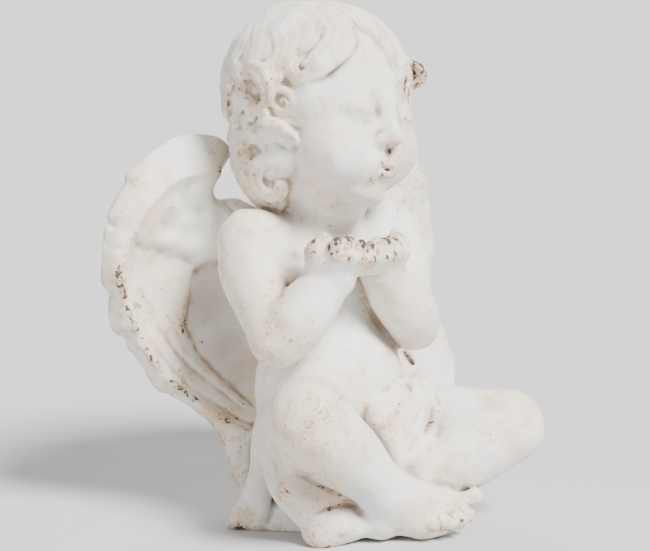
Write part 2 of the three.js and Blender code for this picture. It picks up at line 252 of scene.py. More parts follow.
def sculpt_hands(clay):
    for side in (RIGHT, LEFT):
        palm = np.array([HANDS_X + side * 15, -47, 156])
        clay.ball(palm, (14, 10, 7.5), 6, turn=turn_about("y", side * 10) @ turn_about("x", -25))
        clay.tube([WRIST[side], palm], [10.5, 8.5], 5)
        for i in range(4):
            x = HANDS_X + side * (3.4 + 6.2 * i)
            bow = -3 + 7 * ((x - HANDS_X) / 26) ** 2
            root = np.array([x, -50 + bow, 152.5 + 0.6 * i])
            knuckle = np.array([x + side * 0.6, -56.5 + bow, 158 + 0.5 * i])
            tip = np.array([x + FINGER_LEAN[side], -56 + bow, 165.5 + 0.8 * i + jitter(i + side)])
            clay.tube([root, knuckle], [5.4, 4.4], 2.4, pad=6)
            clay.tube([knuckle, tip], [3.9, 3.3], 0.6, pad=6)
        thumb = [(side * 24, -40, 152), (side * 29, -43, 161), (side * 25.5, -46, 168)]
        clay.tube(np.array(thumb) + (HANDS_X, 0, 0), [7, 6, 4.6], 4, steps=6, pad=6)


def sculpt_legs(clay):
    for side in (LEFT, RIGHT):
        hip, knee, ankle = HIP[side], KNEE[side], ANKLE[side]
        thigh = [hip, mix(hip, knee, 0.45) + (0, 0, 2), mix(hip, knee, 0.8), knee]
        shin = [knee, mix(knee, ankle, 0.3) + (0, -2, -2), mix(knee, ankle, 0.65), ankle]
        clay.tube(thigh, [24, 25.5, 23, 20.5], 12, steps=12)
        clay.tube(shin, [20, 20.5, 17.5, 13.5], 6, steps=12)


def sculpt_feet(clay):
    # The near foot lies on its outer edge, with the great toe up.
    heel = np.array([-4.0, -58, 13])
    clay.ball(heel, (13, 13, 12.5), 7)
    clay.tube([ANKLE[RIGHT], (14, -67, 20), (34, -71, 16.5)], [13.5, 13, 9.5], 7, steps=8)
    clay.ball((21, -69, 10), (18, 11, 10.5), 8)
    clay.tube([(16, -73, 10), (28, -73, 10.5), (38, -72, 15)], [7.5, 7, 6.5], 4)
    for place, radius in zip(TOES, TOE_RADII):
        place = np.array(place, float)
        clay.tube([place + (-4, 6, 4), place + (-1, 2, 2), place + (1, -1, -0.6)], [radius] * 3, 0.6, pad=5)
    clay.tube([(36, -73, 19), (44, -75.5, 20), (50.5, -75, 20.5)], [5.5, 4.6, 4.7], 1.2, pad=5)
    # The far foot is tucked into the cloth.
    clay.ball((2, -38, 12), (13, 13, 12), 8)
    clay.tube([ANKLE[LEFT], (-8, -40, 13), (-24, -42, 10)], [13.5, 12, 9], 8, steps=6)


# Head and hair

TO_HEAD = turn_about("z", HEAD_YAW)
# The shells that the hair lies on: centre and radii, in the head's own frame.
CAP = (np.array([0.0, 11, 11]), np.array([50.0, 50, 49]))
NAPE = (np.array([0.0, 18, -20]), np.array([44.0, 37, 41]))
# How far the hair fills up above each shell, between its locks.
CAP_FILL, NAPE_FILL = 1.3, 2.2


def on_head(x, y, z):
    return HEAD + TO_HEAD @ np.array([x, y, z], float)


def from_head(points):
    """Rows of points in the head's own frame, moved to the figure's."""
    return HEAD + points @ TO_HEAD.T


def sculpt_head(clay):
    clay.ball(on_head(0, 6, 8), (45, 49, 47), 0.1, turn=TO_HEAD)
    clay.ball(on_head(0, -13, -19), (37, 32, 35), 14, turn=TO_HEAD)
    clay.tube([HEAD + (-1, 0, -40), (0, 4, 186)], [24, 21], 9)
    for side in (RIGHT, LEFT):
        clay.ball(on_head(side * 21 - 1, -26, -24), (18, 17, 17), 8, turn=TO_HEAD)
    for side in (RIGHT, LEFT):
        ear = on_head(side * 43, 3, -8)
        clay.ball(ear, (5, 8.5, 12), 3, turn=TO_HEAD @ turn_about("z", side * 20))


TO_FACE = TO_HEAD @ turn_about("y", FACE_ROLL)
FACE_PIVOT = np.array([0.0, 0, -8])


def on_face(x, y, z):
    """A place on the face, which is tilted about a point between the eyes."""
    return on_head(*FACE_PIVOT) + TO_FACE @ (np.array([x, y, z], float) - FACE_PIVOT)


def sculpt_face(clay):
    def ball(place, radii, k, carve=False, pad=14):
        clay.ball(on_face(*place), radii, k, turn=TO_FACE, carve=carve, pad=pad)

    ball((0, -34, -46), (11, 10, 8.5), 9)
    for side in (RIGHT, LEFT):
        ball((side * 17, -50, -1), (11, 8, 6.5), 7, carve=True, pad=6)
        ball((side * 16.5, -37, -2), (9.5, 7.5, 6.5), 4)
        for rise, depth in ((3.4, 0.8), (-2.6, 0.5)):
            lid = []
            for a in np.linspace(0, np.pi, 9):
                reach = np.cos(a)
                set_back = 2.6 * reach**2 if reach > 0 else -0.6 * reach**2
                lid.append(on_face(side * (16.5 + 8.5 * reach), -43.6 + set_back, -3 + rise * np.sin(a)))
            clay.tube(lid, [depth] * len(lid), 1.2, carve=True, pad=4)
    # A short nose.
    clay.tube([on_face(0, -43, 3), on_face(0, -46, -7), on_face(0, -50, -16)], [4.5, 4.3, 5], 5, steps=8)
    for side in (RIGHT, LEFT):
        ball((side * 4.2, -46.4, -17.6), (3, 3.6, 2.8), 3.2)
        ball((side * 2.5, -49.4, -20.6), (1.4, 2.2, 1), 1.2, carve=True, pad=4)
    # Lips pursed to blow a kiss.
    ball((-1.5, -40.5, -33), (11.5, 8.5, 8.5), 7)
    ball((-1.5, -48, -30.6), (5.6, 4.4, 2.8), 2)
    ball((-1.5, -46.8, -36), (4.8, 4.4, 2.7), 2)
    ball((-1.5, -52.4, -33.4), (3, 4.2, 0.9), 1.4, carve=True, pad=4)


def direction(around, above):
    a, e = math.radians(around), math.radians(above)
    return np.array([math.sin(a) * math.cos(e), -math.cos(a) * math.cos(e), math.sin(e)])


def drawn_path(shell, places, steps):
    """A path on a shell of the head through places, each (around, above) in degrees."""
    normals = np.array([unit(n) for n in spline([direction(*place) for place in places], steps)])
    return shell[0] + normals * shell[1], normals


def curl_path(shell, around, above, radius, start, sweep, steps=30, inner=0.38, loose=1.5):
    """A spiral on a shell, wound inwards from its start angle through its sweep, in degrees."""
    out = direction(around, above)
    east = unit(np.cross((0, 0, 1), out))
    north = np.cross(out, east)
    share = np.linspace(0, 1, steps + 1)
    turn = np.radians(start + sweep * share)[:, None]
    reach = np.interp(share, [0, 0.25, 1], [loose, 1, inner])[:, None] * radius / shell[1].mean()
    normals = out + (np.cos(turn) * east + np.sin(turn) * north) * reach
    normals /= np.linalg.norm(normals, axis=1)[:, None]
    return shell[0] + normals * shell[1], normals


# Widths along a lock, as shares of its full width.
EVEN = (0.8, 1.0, 1.0, 0.8)
CURLED = (0.9, 1.0, 0.95, 0.85, 0.7, 0.5)
FADING = (0.6, 1.0, 1.1, 1.0, 0.75, 0.4)


def lay_lock(clay, path, normals, width, strands, flat=0.8, lift=(0, 0), taper=FADING):
    """A lock along a path: strands side by side over a rounded core, raised by `lift` over its length."""
    along = np.gradient(path, axis=0)
    aside = np.cross(normals, along)
    aside /= np.linalg.norm(aside, axis=1)[:, None]
    share = np.linspace(0, 1, len(path))
    half = width * np.interp(share, np.linspace(0, 1, len(taper)), taper)
    raised = np.interp(share, np.linspace(0, 1, len(lift)), lift) - 0.2 * half
    core = path + normals * raised[:, None]
    footing = path + normals * (0.4 * raised - 1)[:, None]
    clay.tube(from_head(core), half * 0.7 * flat, 0.8, pad=3)
    clay.tube(from_head(footing), half * 0.7, 0.8, pad=3)
    for j in range(strands):
        across = (2 * j + 1) / strands - 1
        rise = 0.8 * flat * math.sqrt(1 - across**2)
        points = core + aside * (across * half)[:, None] + normals * (rise * half)[:, None]
        clay.tube(from_head(points), half * 1.22 / strands, 0.4, pad=3)


CURL_WIDTH = 4.0
NEAR_CURL_WIDTH = 3.9


def lay_curl(clay, path, lift, width=CURL_WIDTH):
    """A full lock of two strands that thins towards the middle of its curl."""
    lay_lock(clay, *path, width, 2, 0.9, lift, CURLED)


# Rows of curls: shell, height angle, count around the head, radius, angle left bare beside the brow.
CURL_ROWS = [
    (CAP, 15, 26, 6.4, 108),
    (CAP, 2, 26, 6.8, 108),
    (CAP, -11, 25, 6.6, 108),
    (NAPE, 8, 20, 6.8, 98),
    (NAPE, -12, 19, 6.6, 98),
    (NAPE, -32, 16, 6.6, 98),
    (NAPE, -52, 12, 6.2, 98),
    (NAPE, -70, 7, 5.6, 98),
]
# Single curls at the far temple, on the cap, and low on the near side, on the nape: places in degrees.
FAR_CURLS = [
    (52, 10), (64, 2), (58, -12), (70, -16), (62, -28), (80, 8), (76, -6), (86, -18), (78, -32),
    (92, 4), (98, -10), (94, -26), (104, 12),
]
NAPE_CURLS = [
    (-98, -6), (-102, -30), (-96, -52), (-86, -44), (-118, -20), (-120, -44), (-72, -60), (-110, 14),
    (-90, 12),
]
# Curls beside the near temple: place on the cap, radius, start and sweep, height off the cap.
NEAR_CURLS = [
    (-101, 17, 6.0, 60, 330, 1.6),
    (-104, -1, 6.0, 120, -330, 1.8),
    (-97, -15, 5.6, 20, 330, 1.8),
    (-114, 9, 6.0, 100, 330, 1.4),
    (-83, -17, 5.0, 200, -330, 1.6),
    (-70, 9, 4.6, 60, 320, 1.4),
    (-90, 24, 5.0, 0, -320, 1.0),
]
# Locks combed down from the whorl, all round but for the brow, between two angles.
COMBED_LOCKS = 20
BROW = (-66, 46)


def sculpt_hair(clay):
    def draw(places, steps, *style):
        lay_lock(clay, *drawn_path(CAP, places, steps), *style)

    clay.ball(on_head(*CAP[0]), CAP[1] + CAP_FILL, 2, turn=TO_HEAD)
    clay.ball(on_head(*NAPE[0]), NAPE[1] + NAPE_FILL, 5, turn=TO_HEAD)
    clay.ball(on_head(-37, 6, -24), (8, 15, 13), 5, turn=TO_HEAD)
    lay_lock(clay, *drawn_path(NAPE, [(-80, 10), (-73, 2), (-68, -9)], 12), 4, 2, 0.8, (1.5, 2))
    # The crown is combed from the whorl down to the curls.
    for i in range(COMBED_LOCKS):
        around = 360 * i / COMBED_LOCKS - 180
        if BROW[0] < around < BROW[1]:
            continue
        bend = 6 * jitter(i + 900)
        comb = [(34, 76), (14 + bend, 60), (-5, 42), (4 + bend, 26), (0, 12)]
        comb = [(around + aside, above) for aside, above in comb]
        draw(comb, 24, 8.0, 4, 0.55, (0, 0.4, 0.6, 0.4), (0.5, 0.9, 1.1, 1.1, 0.8))
    seed = 0
    for row, (shell, above, count, radius, bare) in enumerate(CURL_ROWS):
        for i in range(count):
            seed += 1
            around = 360 * (i + 0.5 * (row % 2)) / count - 180 + 5 * jitter(seed)
            if abs(around) < bare:
                continue
            hand = 1 if jitter(seed + 100) > 0 else -1
            path = curl_path(
                shell,
                around,
                above + 4 * jitter(seed + 300),
                radius * (1 + 0.14 * jitter(seed + 200)),
                90 + 60 * jitter(seed + 400),
                hand * (320 + 50 * jitter(seed + 500)),
            )
            lay_curl(clay, path, (0, 1.8, 2.6, 1.6))
    for i, (around, above) in enumerate(FAR_CURLS):
        path = curl_path(CAP, around, above, 6.4, 80 + 90 * jitter(i), (-1) ** i * 330)
        lay_curl(clay, path, (0, 1.6, 2.4, 1.4))
    for around, above, radius, start, sweep, lift in NEAR_CURLS:
        path = curl_path(CAP, around, above, radius, start, sweep)
        lay_curl(clay, path, (0, lift, lift + 0.8, lift), NEAR_CURL_WIDTH)
    # The temple's smooth hair, and the quiff: a broad lock from the crown that rolls up above it.
    temple = drawn_path(CAP, [(-52, 14), (-50, 3), (-52, -8), (-58, -17)], 12)[0]
    clay.tube(from_head(temple * 0.93), np.interp(np.arange(13), [0, 6, 12], [6, 7, 4]), 7)
    quiff = [(-54, 74), (-40, 61), (-31, 48), (-28, 37), (-31, 27)]
    quiff += [(-39, 19), (-47, 12), (-54, 9), (-60, 13), (-58, 19)]
    wide = (0.5, 0.9, 1.1, 1.1, 1.0, 0.85, 0.7, 0.55, 0.35)
    raised = (0, 0.6, 1.6, 3, 3.8, 3.8, 3.2, 2.4, 1.6)
    draw(quiff, 48, 8.6, 4, 0.55, raised, wide)
    for path, lift in (
        ([(-70, 66), (-54, 55), (-45, 46), (-42, 37), (-47, 29), (-57, 26)], (0, 0.6, 1.4, 2, 2)),
        ([(-92, 62), (-74, 50), (-62, 40), (-59, 31), (-66, 24), (-76, 26)], (0, 0.4, 0.8, 1.2, 1.2)),
        ([(-108, 54), (-94, 42), (-82, 30), (-76, 18), (-84, 10)], (0, 0.2, 0.5, 0.6, 0.6)),
    ):
        draw(path, 26, 6.6, 3, 0.4, lift)
    # The far side: locks from the parting, down beside the brow, and a curl that stands off the temple.
    for path, lift in (
        ([(-34, 72), (-14, 62), (2, 48), (9, 34), (12, 22), (18, 10)], (0, 0.5, 1.2, 2.4, 3.2, 3.2)),
        ([(0, 74), (20, 58), (27, 42), (25, 26), (27, 12), (34, 0)], (0, 0.5, 1, 2, 3, 3)),
        ([(40, 66), (46, 48), (48, 30), (44, 14), (42, 2)], (0, 0.5, 1, 1.5, 2)),
    ):
        draw(path, 26, 6.8, 3, 0.5, lift)
    for around, above, lift in ((20, 4, 4), (27, -8, 3), (34, -20, 2)):
        lay_lock(clay, *curl_path(CAP, around, above, 6, 100, -400), 3.4, 2, 0.8, (lift, lift), CURLED)
    draw([(40, 17), (41, 12), (42, 6), (43, 2)], 14, 4.8, 2, 0.9, (2, 9, 9, 3), EVEN)
    hook = [(-97, 9), (-84, 11), (-76, 4), (-75, -5), (-82, -12)]
    draw(hook, 20, 4.4, 2, 0.9, (0.5, 2.6, 2.6, 1.6))
    lay_lock(clay, *curl_path(CAP, -66, -8, 5.0, 190, -330, inner=0.7), 3.4, 2, 0.7, (0.6, 1), EVEN)
    # The near side: a roll and a sideburn in front of the ear, and a large open curl low on the neck.
    roll = [(-100, -24), (-88, -29), (-75, -24), (-64, -29), (-60, -37), (-68, -42)]
    draw(roll, 26, 5.6, 2, 0.8, (1.6, 2.8))
    sideburn = [(-70, -14), (-60, -18), (-52, -22), (-44, -28)]
    draw(sideburn, 18, 4.6, 2, 0.4, (0.4, 0.4), (0.7, 1.0, 1.0, 0.6, 0.3))
    lay_lock(clay, *curl_path(NAPE, -73, -27, 9.5, 60, 285, inner=0.8), 4.6, 2, 0.9, (2, 3), EVEN)
    for i, (around, above) in enumerate(NAPE_CURLS):
        hand = (-1) ** i
        lay_curl(clay, curl_path(NAPE, around, above, 6.4, 90 + 40 * hand, 330 * hand), (0, 2, 3, 2))


# Wings, laid out in their own plane: span runs outwards from the root, rise runs up

WING_ROOT = {RIGHT: np.array([-22.0, 42, 190]), LEFT: np.array([16.0, 42, 192])}
WING_SWEEP = {RIGHT: math.radians(12), LEFT: math.radians(14)}
WING_TILT = {RIGHT: 0.0, LEFT: math.radians(41)}
WING_LEAN = {RIGHT: 0.0, LEFT: 0.1}
WING_DEPTH = {RIGHT: 1.0, LEFT: 0.5}
WING_CUP = {RIGHT: 0.75, LEFT: 0.15}
WING_OUTLINE = [
    (6, -22), (19, -8), (25, -1), (24, 5), (20, 12), (15, 20), (14, 24), (19, 30), (26, 33), (37, 34),
    (48, 32), (59, 26), (69, 19), (79, 11), (80, 6), (87, -4), (91, -12), (90, -16), (93, -20),
    (95, -39), (95.5, -48), (93, -53), (91, -56), (91, -67), (88.5, -77), (85, -80.5), (81, -82),
    (79, -88), (75, -92), (70, -100), (64, -111), (59, -115.5), (54, -117), (47, -122), (38, -128),
    (27, -138), (20, -150), (18, -158), (17, -166), (14, -174), (8, -181), (0, -180), (-8, -150),
    (-9, -100), (-6, -60),
]
LONG_TIPS = [
    (85, -9), (91, -26), (95, -48), (88.5, -79), (75.5, -98), (58, -116), (40, -127), (25, -144),
    (16, -165), (6, -182),
]
# The rim parts the hollow front face from the outer band, which falls away to the outline.
WING_RIM = [
    (25, 13), (37, 12), (48, 10), (58, 4), (67, -4), (74, -14), (80, -26), (85, -39), (86, -46),
    (83, -57), (77, -73), (69, -90), (58, -104), (41, -118), (23, -132), (5, -142), (-9, -144),
    (-14, -100), (-14, -60), (-8, -30), (8, -10), (18, 4),
]
COVERTS = [
    (54, -8, 8, 7), (36, -1, 7, 7), (43, -17, 7, 6), (28, -18, 6, 8), (54, -27, 8, 6), (39, -31, 7, 6),
    (66, -20, 6, 8),
]
COVERT_EDGE = [
    (20, -44), (35, -46), (42, -42), (51, -38), (64, -33), (80, -28),
]
WING_HOLLOW = [
    (35, -47), (38, -60), (41, -77), (37, -88), (27, -102), (13, -116), (1, -127), (-20, -132),
    (-20, -40), (24, -43),
]


def outline_distance(span, rise, points):
    """Signed distance in the wing's plane, negative inside the closed outline."""
    nearest = np.full(span.shape, 1e9)
    inside = np.zeros(span.shape, bool)
    for (x0, y0), (x1, y1) in zip(points, np.roll(points, -1, 0)):
        ex, ey = x1 - x0, y1 - y0
        t = np.clip(((span - x0) * ex + (rise - y0) * ey) / (ex * ex + ey * ey), 0, 1)
        nearest = np.minimum(nearest, (span - x0 - t * ex) ** 2 + (rise - y0 - t * ey) ** 2)
        crosses = ((y0 <= rise) & (rise < y1)) | ((y1 <= rise) & (rise < y0))
        inside ^= crosses & (span < x0 + (rise - y0) / (ey if ey else 1e-9) * ex)
    return np.where(inside, -np.sqrt(nearest), np.sqrt(nearest))


def feather(span, rise, root, bend, tip, width, steps=14):
    """Distance to a curved feather's edge, the place across it, from -1 to 1, and the share along it."""
    t = np.linspace(0, 1, steps + 1)[:, None]
    line = (1 - t) ** 2 * np.array(root) + 2 * t * (1 - t) * np.array(bend) + t * t * np.array(tip)
    best = np.full(span.shape, 1e9)
    share = np.zeros(span.shape)
    aside = np.zeros(span.shape)
    for i, (a, b) in enumerate(zip(line[:-1], line[1:])):
        e = b - a
        u = np.clip(((span - a[0]) * e[0] + (rise - a[1]) * e[1]) / (e @ e), 0, 1)
        dx, dy = span - a[0] - u * e[0], rise - a[1] - u * e[1]
        d = np.hypot(dx, dy)
        closer = d < best
        best = np.where(closer, d, best)
        share = np.where(closer, (i + u) / steps, share)
        aside = np.where(closer, np.sign(dx * e[1] - dy * e[0]) * d, aside)
    round_tip = np.sqrt(np.clip(1 - np.clip((share - 0.8) / 0.2, 0, 1) ** 2, 0.02, 1))
    half = width * round_tip * (0.75 + 0.25 * np.clip(share / 0.3, 0, 1))
    return best - half, np.clip(aside / half, -1, 1), share


def wing_maps(front):
    """The wing on a grid of 1 mm: spans and rises, distance to the outline, height of one face."""
    span_axis, rise_axis = np.arange(-24, 116, 1.0), np.arange(-204, 52, 1.0)
    span, rise = np.meshgrid(span_axis, rise_axis, indexing="ij")
    edge = outline_distance(span, rise, closed_spline(WING_OUTLINE, 180))
    relief = np.zeros(span.shape)
    rows = []
    for i, tip in enumerate(LONG_TIPS):
        share = i / (len(LONG_TIPS) - 1)
        if share < 0.5:
            root = mix((56, 18), (20, -60), 2 * share)
        else:
            root = mix((20, -60), (2, -110), 2 * share - 1)
        rows.append((root, mix(root, tip, 0.5) + (9 * (1 - share), 0), tip, 9.5 - 2.5 * share, 0.0, 1.6))
    if not front:
        for tips, height in (([(88, -30), (4, -134)], 1.8), ([(78, -16), (4, -86)], 3.6)):
            for i in range(9):
                share = i / 8
                tip = mix(*tips, share) + (0, 8 * jitter(i) * 0.3)
                root = mix((60, 16), (4, -30), share)
                bend = mix(root, tip, 0.5) + (7 * (1 - share), 0)
                rows.append((root, bend, tip, 8.0, height, height + 2))
    for root, bend, tip, width, low, high in rows:
        gap, aside, share = feather(span, rise, root, bend, tip, width)
        barbs = 0.22 * np.sin(share * 70 + np.abs(aside) * 5)
        shaft = 0.7 * np.exp(-((aside * width / 1.1) ** 2))
        body = low + (high - low) * share + 1.2 * (1 - aside**2) - shaft + barbs
        relief = np.where(gap < 0, np.maximum(relief, body), relief)
    if front:
        rim = outline_distance(span, rise, closed_spline(WING_RIM, 96))
        inward = np.maximum(-rim, 0)
        crest = np.interp(rise, [-180, -140, -60, 0, 30], [3, 8, 13, 14, 13])
        band = np.clip(rim / np.maximum(rim - edge, 0.5), 0, 1)
        outer = 1.5 + (crest - 1.5) * (1 - band**1.7) + 0.4 * relief
        lumps = np.zeros(span.shape)
        for x, y, rx, ry in COVERTS:
            lumps = lumps + 3.2 * np.exp(-(((span - x) / rx) ** 2) - ((rise - y) / ry) ** 2)
        covert_edge = np.interp(span, *np.array(COVERT_EDGE).T) + 2.5 * np.abs(np.sin(span / 5.5))
        lumps = lumps + 2 * np.clip((rise - covert_edge) / 4, 0, 1)
        low_down = np.clip((-60 - rise) / 25, 0, 1)
        wander = inward + 1.4 * np.sin(rise / 11) + 0.8 * np.sin(span / 5)
        ridges = low_down * 0.8 * np.cos(wander * 2 * np.pi / 8.5)
        cavity = closed_spline(WING_HOLLOW, 64)
        near_body = np.clip(0.5 - outline_distance(span, rise, cavity) / 7, 0, 1)
        inner = crest - 10 * (1 - np.exp(-inward / 9)) + lumps + ridges
        inner = inner - near_body * (12 + 1.4 * np.cos(0.55 * (span + rise)))
        height = np.where(rim > 0, outer, np.maximum(inner, -3))
    else:
        crown = np.exp(-((np.hypot(span - 34, rise - 18) / 30) ** 2))
        height = 4.5 + relief + 5 * crown
    for _ in range(1 if front else 2):
        height[1:-1, 1:-1] = 0.5 * height[1:-1, 1:-1] + 0.125 * (
            height[2:, 1:-1] + height[:-2, 1:-1] + height[1:-1, 2:] + height[1:-1, :-2]
        )
    return span_axis, rise_axis, edge, height


def sample(grid, i, j):
    """Bilinear look-up at fractional indices."""
    i = np.clip(i, 0, grid.shape[0] - 1.001)
    j = np.clip(j, 0, grid.shape[1] - 1.001)
    i0, j0 = i.astype(np.int32), j.astype(np.int32)
    u, v = i - i0, j - j0
    low = grid[i0, j0] * (1 - v) + grid[i0, j0 + 1] * v
    high = grid[i0 + 1, j0] * (1 - v) + grid[i0 + 1, j0 + 1] * v
    return low * (1 - u) + high * u


def sculpt_wing(clay, side, maps):
    span_axis, rise_axis, edge, front, back = maps
    root, tilt = WING_ROOT[side], WING_TILT[side]
    sweep = WING_SWEEP[side]
    out = np.array([side * math.cos(sweep), math.sin(sweep), 0])
    ahead = np.array([side * math.sin(sweep), -math.cos(sweep), 0])
    low, high = ((LOW[0], 8, -4), (6, 90, 240)) if side == RIGHT else ((-6, 8, -4), (HIGH[0], 90, 280))
    cut, p = clay.window(low, high)
    q = p - root.astype(np.float32)
    across, up, depth = q @ out.astype(np.float32), q[..., 2], q @ ahead.astype(np.float32)
    span = across * math.cos(tilt) + up * math.sin(tilt)
    rise = up * math.cos(tilt) - across * math.sin(tilt)
    i, j = span - span_axis[0], rise - rise_axis[0]
    rim_distance = sample(edge, i, j)
    cup = 16 * ((span - 30) / 60) ** 2 + 10 * ((rise + 60) / 120) ** 2 - 4
    middle = WING_CUP[side] * cup - WING_LEAN[side] * up
    rim = np.sqrt(np.clip(1 - (1 - np.clip(-rim_distance / 5, 0, 1)) ** 2, 0, 1))
    ahead_of = depth - middle - WING_DEPTH[side] * sample(front, i, j) * rim
    behind = middle - depth - sample(back, i, j) * rim
    clay.merge(cut, np.maximum(np.maximum(ahead_of, behind) * 0.8, rim_distance), 3, False)
    blade = np.array([side * 20, 26, 158])
    neck = root + out * 12 + (0, 0, -12)
    clay.tube([blade, mix(blade, neck, 0.6) + (0, 4, 0), neck], [15, 12, 8], 8, steps=6)
    if side == LEFT:
        sculpt_far_blade(clay)


def sculpt_far_blade(clay):
    """The far wing's lower part: two plates, feather lines on the back and a crack in front."""
    clay.plate([(24, 32, 150), (78, 50, 128), (100, 52, 84), (74, 44, 62), (36, 32, 66)], 5, 6)
    low_plate = [(82, 40, 92), (116, 43, 98), (126, 41, 74), (122, 38, 56), (102, 35, 46), (74, 34, 56)]
    clay.plate(low_plate, 5, 6)
    for share in np.linspace(0, 1, 5):
        start = mix((36, 40, 116), (80, 57, 122), share)
        end = mix((48, 42, 68), (104, 54, 74), share)
        line = [start, mix(start, end, 0.5) + (3, 1, 0), end]
        clay.tube(line, [0.8, 1.5, 1.2], 2.5, steps=8, carve=True, pad=5)
    crack = [(86, 35, 84), (92, 36, 77), (96, 37, 70)]
    clay.tube(crack, [1.2, 1.8, 1.2], 2, steps=6, carve=True, pad=5)


# Cloth


def sculpt_cloth(clay):
    # The gathered mound underneath, set back behind the near hip.
    cut, p = clay.window((-74, -66, -4), (76, 78, 48))
    x, y, z = p[..., 0] - 5, p[..., 1] - 10, p[..., 2]
    angle = np.arctan2(y, x)
    fold = 1 + 0.05 * np.cos(9 * angle) + 0.03 * np.sin(5 * angle + 1)
    reach = np.interp(z, [-4, 3, 12, 24, 40], [50, 50, 47, 38, 24]) * fold
    clay.merge(cut, np.maximum((np.hypot(x, y * 1.04) - reach) * 0.8, z - 30), 8, False)
    # The loin cloth: a flat gusset that fans out from a hanging knot, with shallow folds.
    clay.plate([(34, -41, 72), (2, -49, 65), (13, -53, 43), (34, -48, 46), (47, -41, 57)], 5, 6)
    clay.plate([(30, -40, 80), (4, -46, 72), (2, -49, 65), (30, -43, 70)], 5, 5)
    for ridge, radii, k in (
        ([(37.5, -39.5, 83), (39.5, -42.5, 78), (40, -44.5, 71)], (5.2, 5.6, 4), 1.5),
        ([(24, -45.5, 78), (13, -50.5, 71), (2, -54, 64)], (1.6, 2, 1.8), 2.5),
        ([(38, -47, 74), (35, -49, 66), (28, -51.5, 57)], (2.4, 2.6, 1.6), 5),
        (
            [(42, -45, 73), (43.5, -47, 65), (41.5, -50, 57), (31, -55.5, 50), (20, -57.5, 44)],
            (2, 2, 2, 2, 1.6),
            4,
        ),
    ):
        clay.tube(ridge, radii, k, steps=10)
    clay.ball((28, -44, 82), (3, 4, 4.5), 2, carve=True, pad=6)
    # The cloth's end beside the near hip, that flares to the ground.
    clay.tube([(-44, -14, 60), (-47, -8, 42), (-48, -2, 22), (-54, 8, 4)], [10, 8, 6, 5.5], 4, steps=10)
    clay.plate([(-45, -9, 44), (-56, 11, 1), (-47, -1, 1)], 4.5, 4)
    # The bundle under the near thigh: a layer that hangs from the leg, a hem and an egg-shaped roll below.
    clay.tube([(-46, -32, 42), (-47, -38, 32), (-40, -42, 20)], [15, 13, 11], 5, steps=10)
    clay.tube([(-52, -40, 27), (-42, -47, 26), (-30, -48, 25), (-18, -48, 26)], [5, 5.5, 6, 6], 3, steps=12)
    clay.plate([(-57, -47, 46), (-58, -47, 32), (-44, -52, 28), (-22, -56, 29), (-26, -62, 40)], 5, 5)
    clay.ball((-27, -48.5, 12.5), (19, 14, 12.5), 1.2, turn=turn_about("z", -12) @ turn_about("y", 12))
    clay.ball((-34, -47, 7), (12, 11, 9), 4)
    hem = [(-62, -49, 31), (-56, -53, 28.5), (-45, -57.5, 26), (-29, -61, 24.6), (-19, -62, 25.5)]
    clay.tube(hem, [1.2, 1.6, 1.8, 1.8, 1.6], 2, steps=14, carve=True, pad=6)


# Finish of the clay

# Where locks wind in on themselves: place on the cap, radius, start and sweep, height off the cap.
SNAILS = [
    (-53, 14, 4.4, 230, -400, 4.2), (-66, -8, 3.4, 0, 360, 2.6), (-86, 0, 4.6, 60, -330, 2.2),
    (-73, -26, 3.6, 30, 250, 3.4),
]
HEAD_REGION = ((-70, -74, 184), (70, 84, 306))
# Lumps of the hand modelling: size, height and seed.
LUMPS = [(11, 0.3, 1), (5, 0.16, 2)]


def wind_locks(clay):
    for around, above, radius, start, sweep, lift in SNAILS:
        path, normals = curl_path(CAP, around, above, radius, start, sweep, inner=0.35, loose=1.15)
        groove = np.interp(np.linspace(0, 1, len(path)), [0, 0.3, 1], [0.5, 1.5, 1.3])
        clay.tube(from_head(path + normals * lift), groove, 1.2, carve=True, pad=5)


def soften(clay, low, high, reach):
    """Rounds off the modelling in a region."""
    cut = clay.window(low, high)[0]
    clay.field[cut] = blur(clay.field[cut], reach)


def roughen(clay, size, height, seed):
    """Uneven hand modelling: smooth lumps of a size and height over the whole skin."""
    counts = [int((top - bottom) / size) + 3 for bottom, top in zip(LOW, HIGH)]
    lumps = np.random.default_rng(seed).standard_normal(counts).astype(np.float32)
    for axis in range(3):
        place = np.arange(clay.field.shape[axis]) * clay.step / size
        first = place.astype(int)
        share = (place - first).astype(np.float32)
        share = (share * share * (3 - 2 * share)).reshape([-1 if i == axis else 1 for i in range(3)])
        lumps = np.take(lumps, first, axis) * (1 - share) + np.take(lumps, first + 1, axis) * share
    clay.field += height * lumps


def sculpt():
    clay = Clay(LOW, HIGH, STEP)
    sculpt_trunk(clay)
    sculpt_legs(clay)
    sculpt_cloth(clay)
    sculpt_feet(clay)
    sculpt_arms(clay)
    span_axis, rise_axis, edge, front = wing_maps(True)
    back = wing_maps(False)[3]
    for side in (RIGHT, LEFT):
        sculpt_wing(clay, side, (span_axis, rise_axis, edge, front, back))
    sculpt_hands(clay)
    sculpt_head(clay)
    sculpt_hair(clay)
    soften(clay, *HEAD_REGION, 1)
    wind_locks(clay)
    sculpt_face(clay)
    for size, height, seed in LUMPS:
        roughen(clay, size, height, seed)
    clay.field = np.maximum(clay.field, -clay.axes[2][None, None, :])
    return clay


# Skin

CORNERS = np.array([(i, j, k) for i in (0, 1) for j in (0, 1) for k in (0, 1)])
EDGES = [(a, b) for a in range(8) for b in range(a + 1, 8) if np.abs(CORNERS[a] - CORNERS[b]).sum() == 1]


